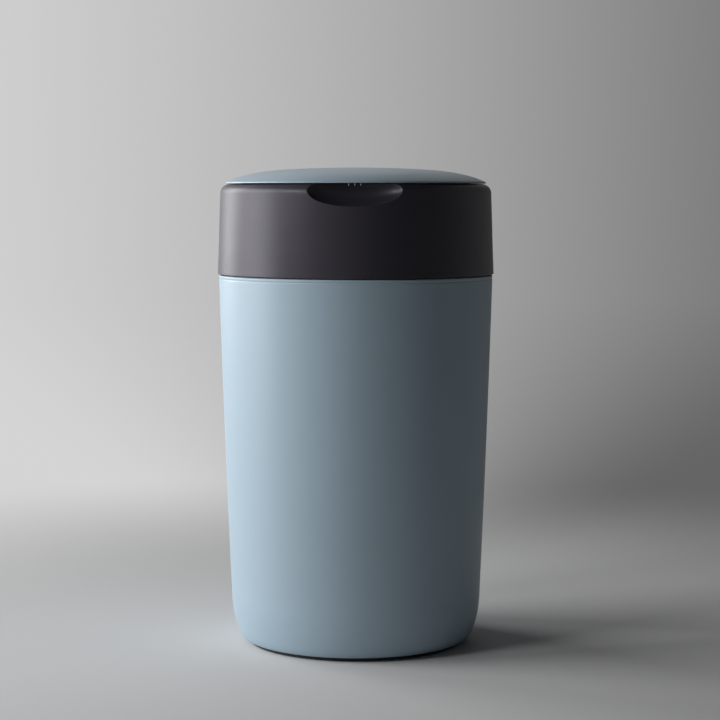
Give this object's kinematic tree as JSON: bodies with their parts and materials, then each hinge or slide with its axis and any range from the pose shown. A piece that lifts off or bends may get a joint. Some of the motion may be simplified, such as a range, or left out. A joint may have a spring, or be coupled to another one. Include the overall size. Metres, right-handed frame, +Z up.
{
  "type": "nappy bin",
  "caption": "Tapered nappy bin: rounded tub, head that tilts open, twisting film cassette with ratchet and cutter, and a domed flip lid with a finger scoop.",
  "frame": {"origin": "middle of the base, on the floor under the foot ring", "axes": "+Z up; -Y is the front, with the finger scoop; both hinges are at +Y"},
  "size_m": [0.243, 0.2426, 0.4193],
  "materials": {
    "tub_plastic": "satin moulded plastic, light blue-grey",
    "lid_plastic": "satin moulded plastic, light blue-grey",
    "collar_plastic": "satin moulded plastic, charcoal",
    "button_plastic": "satin moulded plastic, charcoal",
    "foot_rubber": "matt grippy rubber",
    "seal_rubber": "soft matt rubber",
    "fin_rubber": "soft matt silicone",
    "chassis_plastic": "light grey moulded plastic",
    "drum_plastic": "pale grey moulded plastic",
    "twist_plastic": "satin blue-grey plastic",
    "glide_plastic": "smooth natural acetal",
    "cassette_plastic": "white moulded plastic",
    "film": "thin pleated film, pale blue",
    "pin_steel": "ground steel",
    "screw_steel": "zinc-plated steel",
    "spring_steel": "spring steel wire",
    "blade_steel": "ground stainless steel",
    "pawl_plastic": "pale grey moulded acetal"
  },
  "bodies": {
    "tub": {"tub": "tub_plastic", "foot_ring": "foot_rubber", "head_hinge_pin": "pin_steel"},
    "head": {"collar": "collar_plastic", "head_chassis": "chassis_plastic", "chassis_screws": "screw_steel", "head_seal": "seal_rubber", "glide_ring": "glide_plastic", "lid_hinge_pin": "pin_steel", "fin_disc": "fin_rubber", "fin_retainer": "chassis_plastic", "retainer_screws": "screw_steel", "pawl_pins": "pin_steel", "release_springs": "spring_steel"},
    "button_right": {"release_button_right": "button_plastic"},
    "button_left": {"release_button_left": "button_plastic"},
    "twist_drum": {"drum": "drum_plastic", "twist_rim": "twist_plastic", "rim_screws": "screw_steel", "cassette_tray": "cassette_plastic", "cassette_cap": "cassette_plastic", "film_pack": "film", "film_liner": "film"},
    "cutter": {"cutter_ring": "twist_plastic", "cutter_blade": "blade_steel", "cutter_knob": "button_plastic"},
    "pawl_a": {"ratchet_pawl_a": "pawl_plastic", "pawl_spring_a": "spring_steel"},
    "pawl_b": {"ratchet_pawl_b": "pawl_plastic", "pawl_spring_b": "spring_steel"},
    "lid": {"lid_shell": "lid_plastic", "lid_liner": "drum_plastic", "lid_seal": "seal_rubber", "lid_screws": "screw_steel"}
  },
  "joints": [
    {"name": "head_tilt", "type": "hinge", "parent": "tub", "child": "head", "pos_m": [0, 0.115, 0.33], "axis": [-1, 0, 0], "range_deg": [0, 95]},
    {"name": "lid_hinge", "type": "hinge", "parent": "head", "child": "lid", "pos_m": [0, 0.1115, 0.4007], "axis": [-1, 0, 0], "range_deg": [0, 100]},
    {"name": "cassette_twist", "type": "hinge", "parent": "head", "child": "twist_drum", "pos_m": [0, 0, 0.35], "axis": [0, 0, 1], "continuous": true},
    {"name": "cutter_turn", "type": "hinge", "parent": "head", "child": "cutter", "pos_m": [0, 0, 0.318], "axis": [0, 0, 1], "continuous": true},
    {"name": "pawl_a_swing", "type": "hinge", "parent": "head", "child": "pawl_a", "pos_m": [0.09201, 0.03906, 0.346], "axis": [0, 0, -1], "range_deg": [0, 8], "stiffness_Nm_per_rad": 0.02},
    {"name": "pawl_b_swing", "type": "hinge", "parent": "head", "child": "pawl_b", "pos_m": [-0.09201, -0.03906, 0.346], "axis": [0, 0, -1], "range_deg": [0, 8], "stiffness_Nm_per_rad": 0.02},
    {"name": "button_right_press", "type": "slide", "parent": "head", "child": "button_right", "axis": [-1, 0, 0], "range_m": [0, 0.004], "stiffness_N_per_m": 800, "deforming": ["release_springs"]},
    {"name": "button_left_press", "type": "slide", "parent": "head", "child": "button_left", "axis": [1, 0, 0], "range_m": [0, 0.004], "stiffness_N_per_m": 800, "deforming": ["release_springs"]}
  ]
}
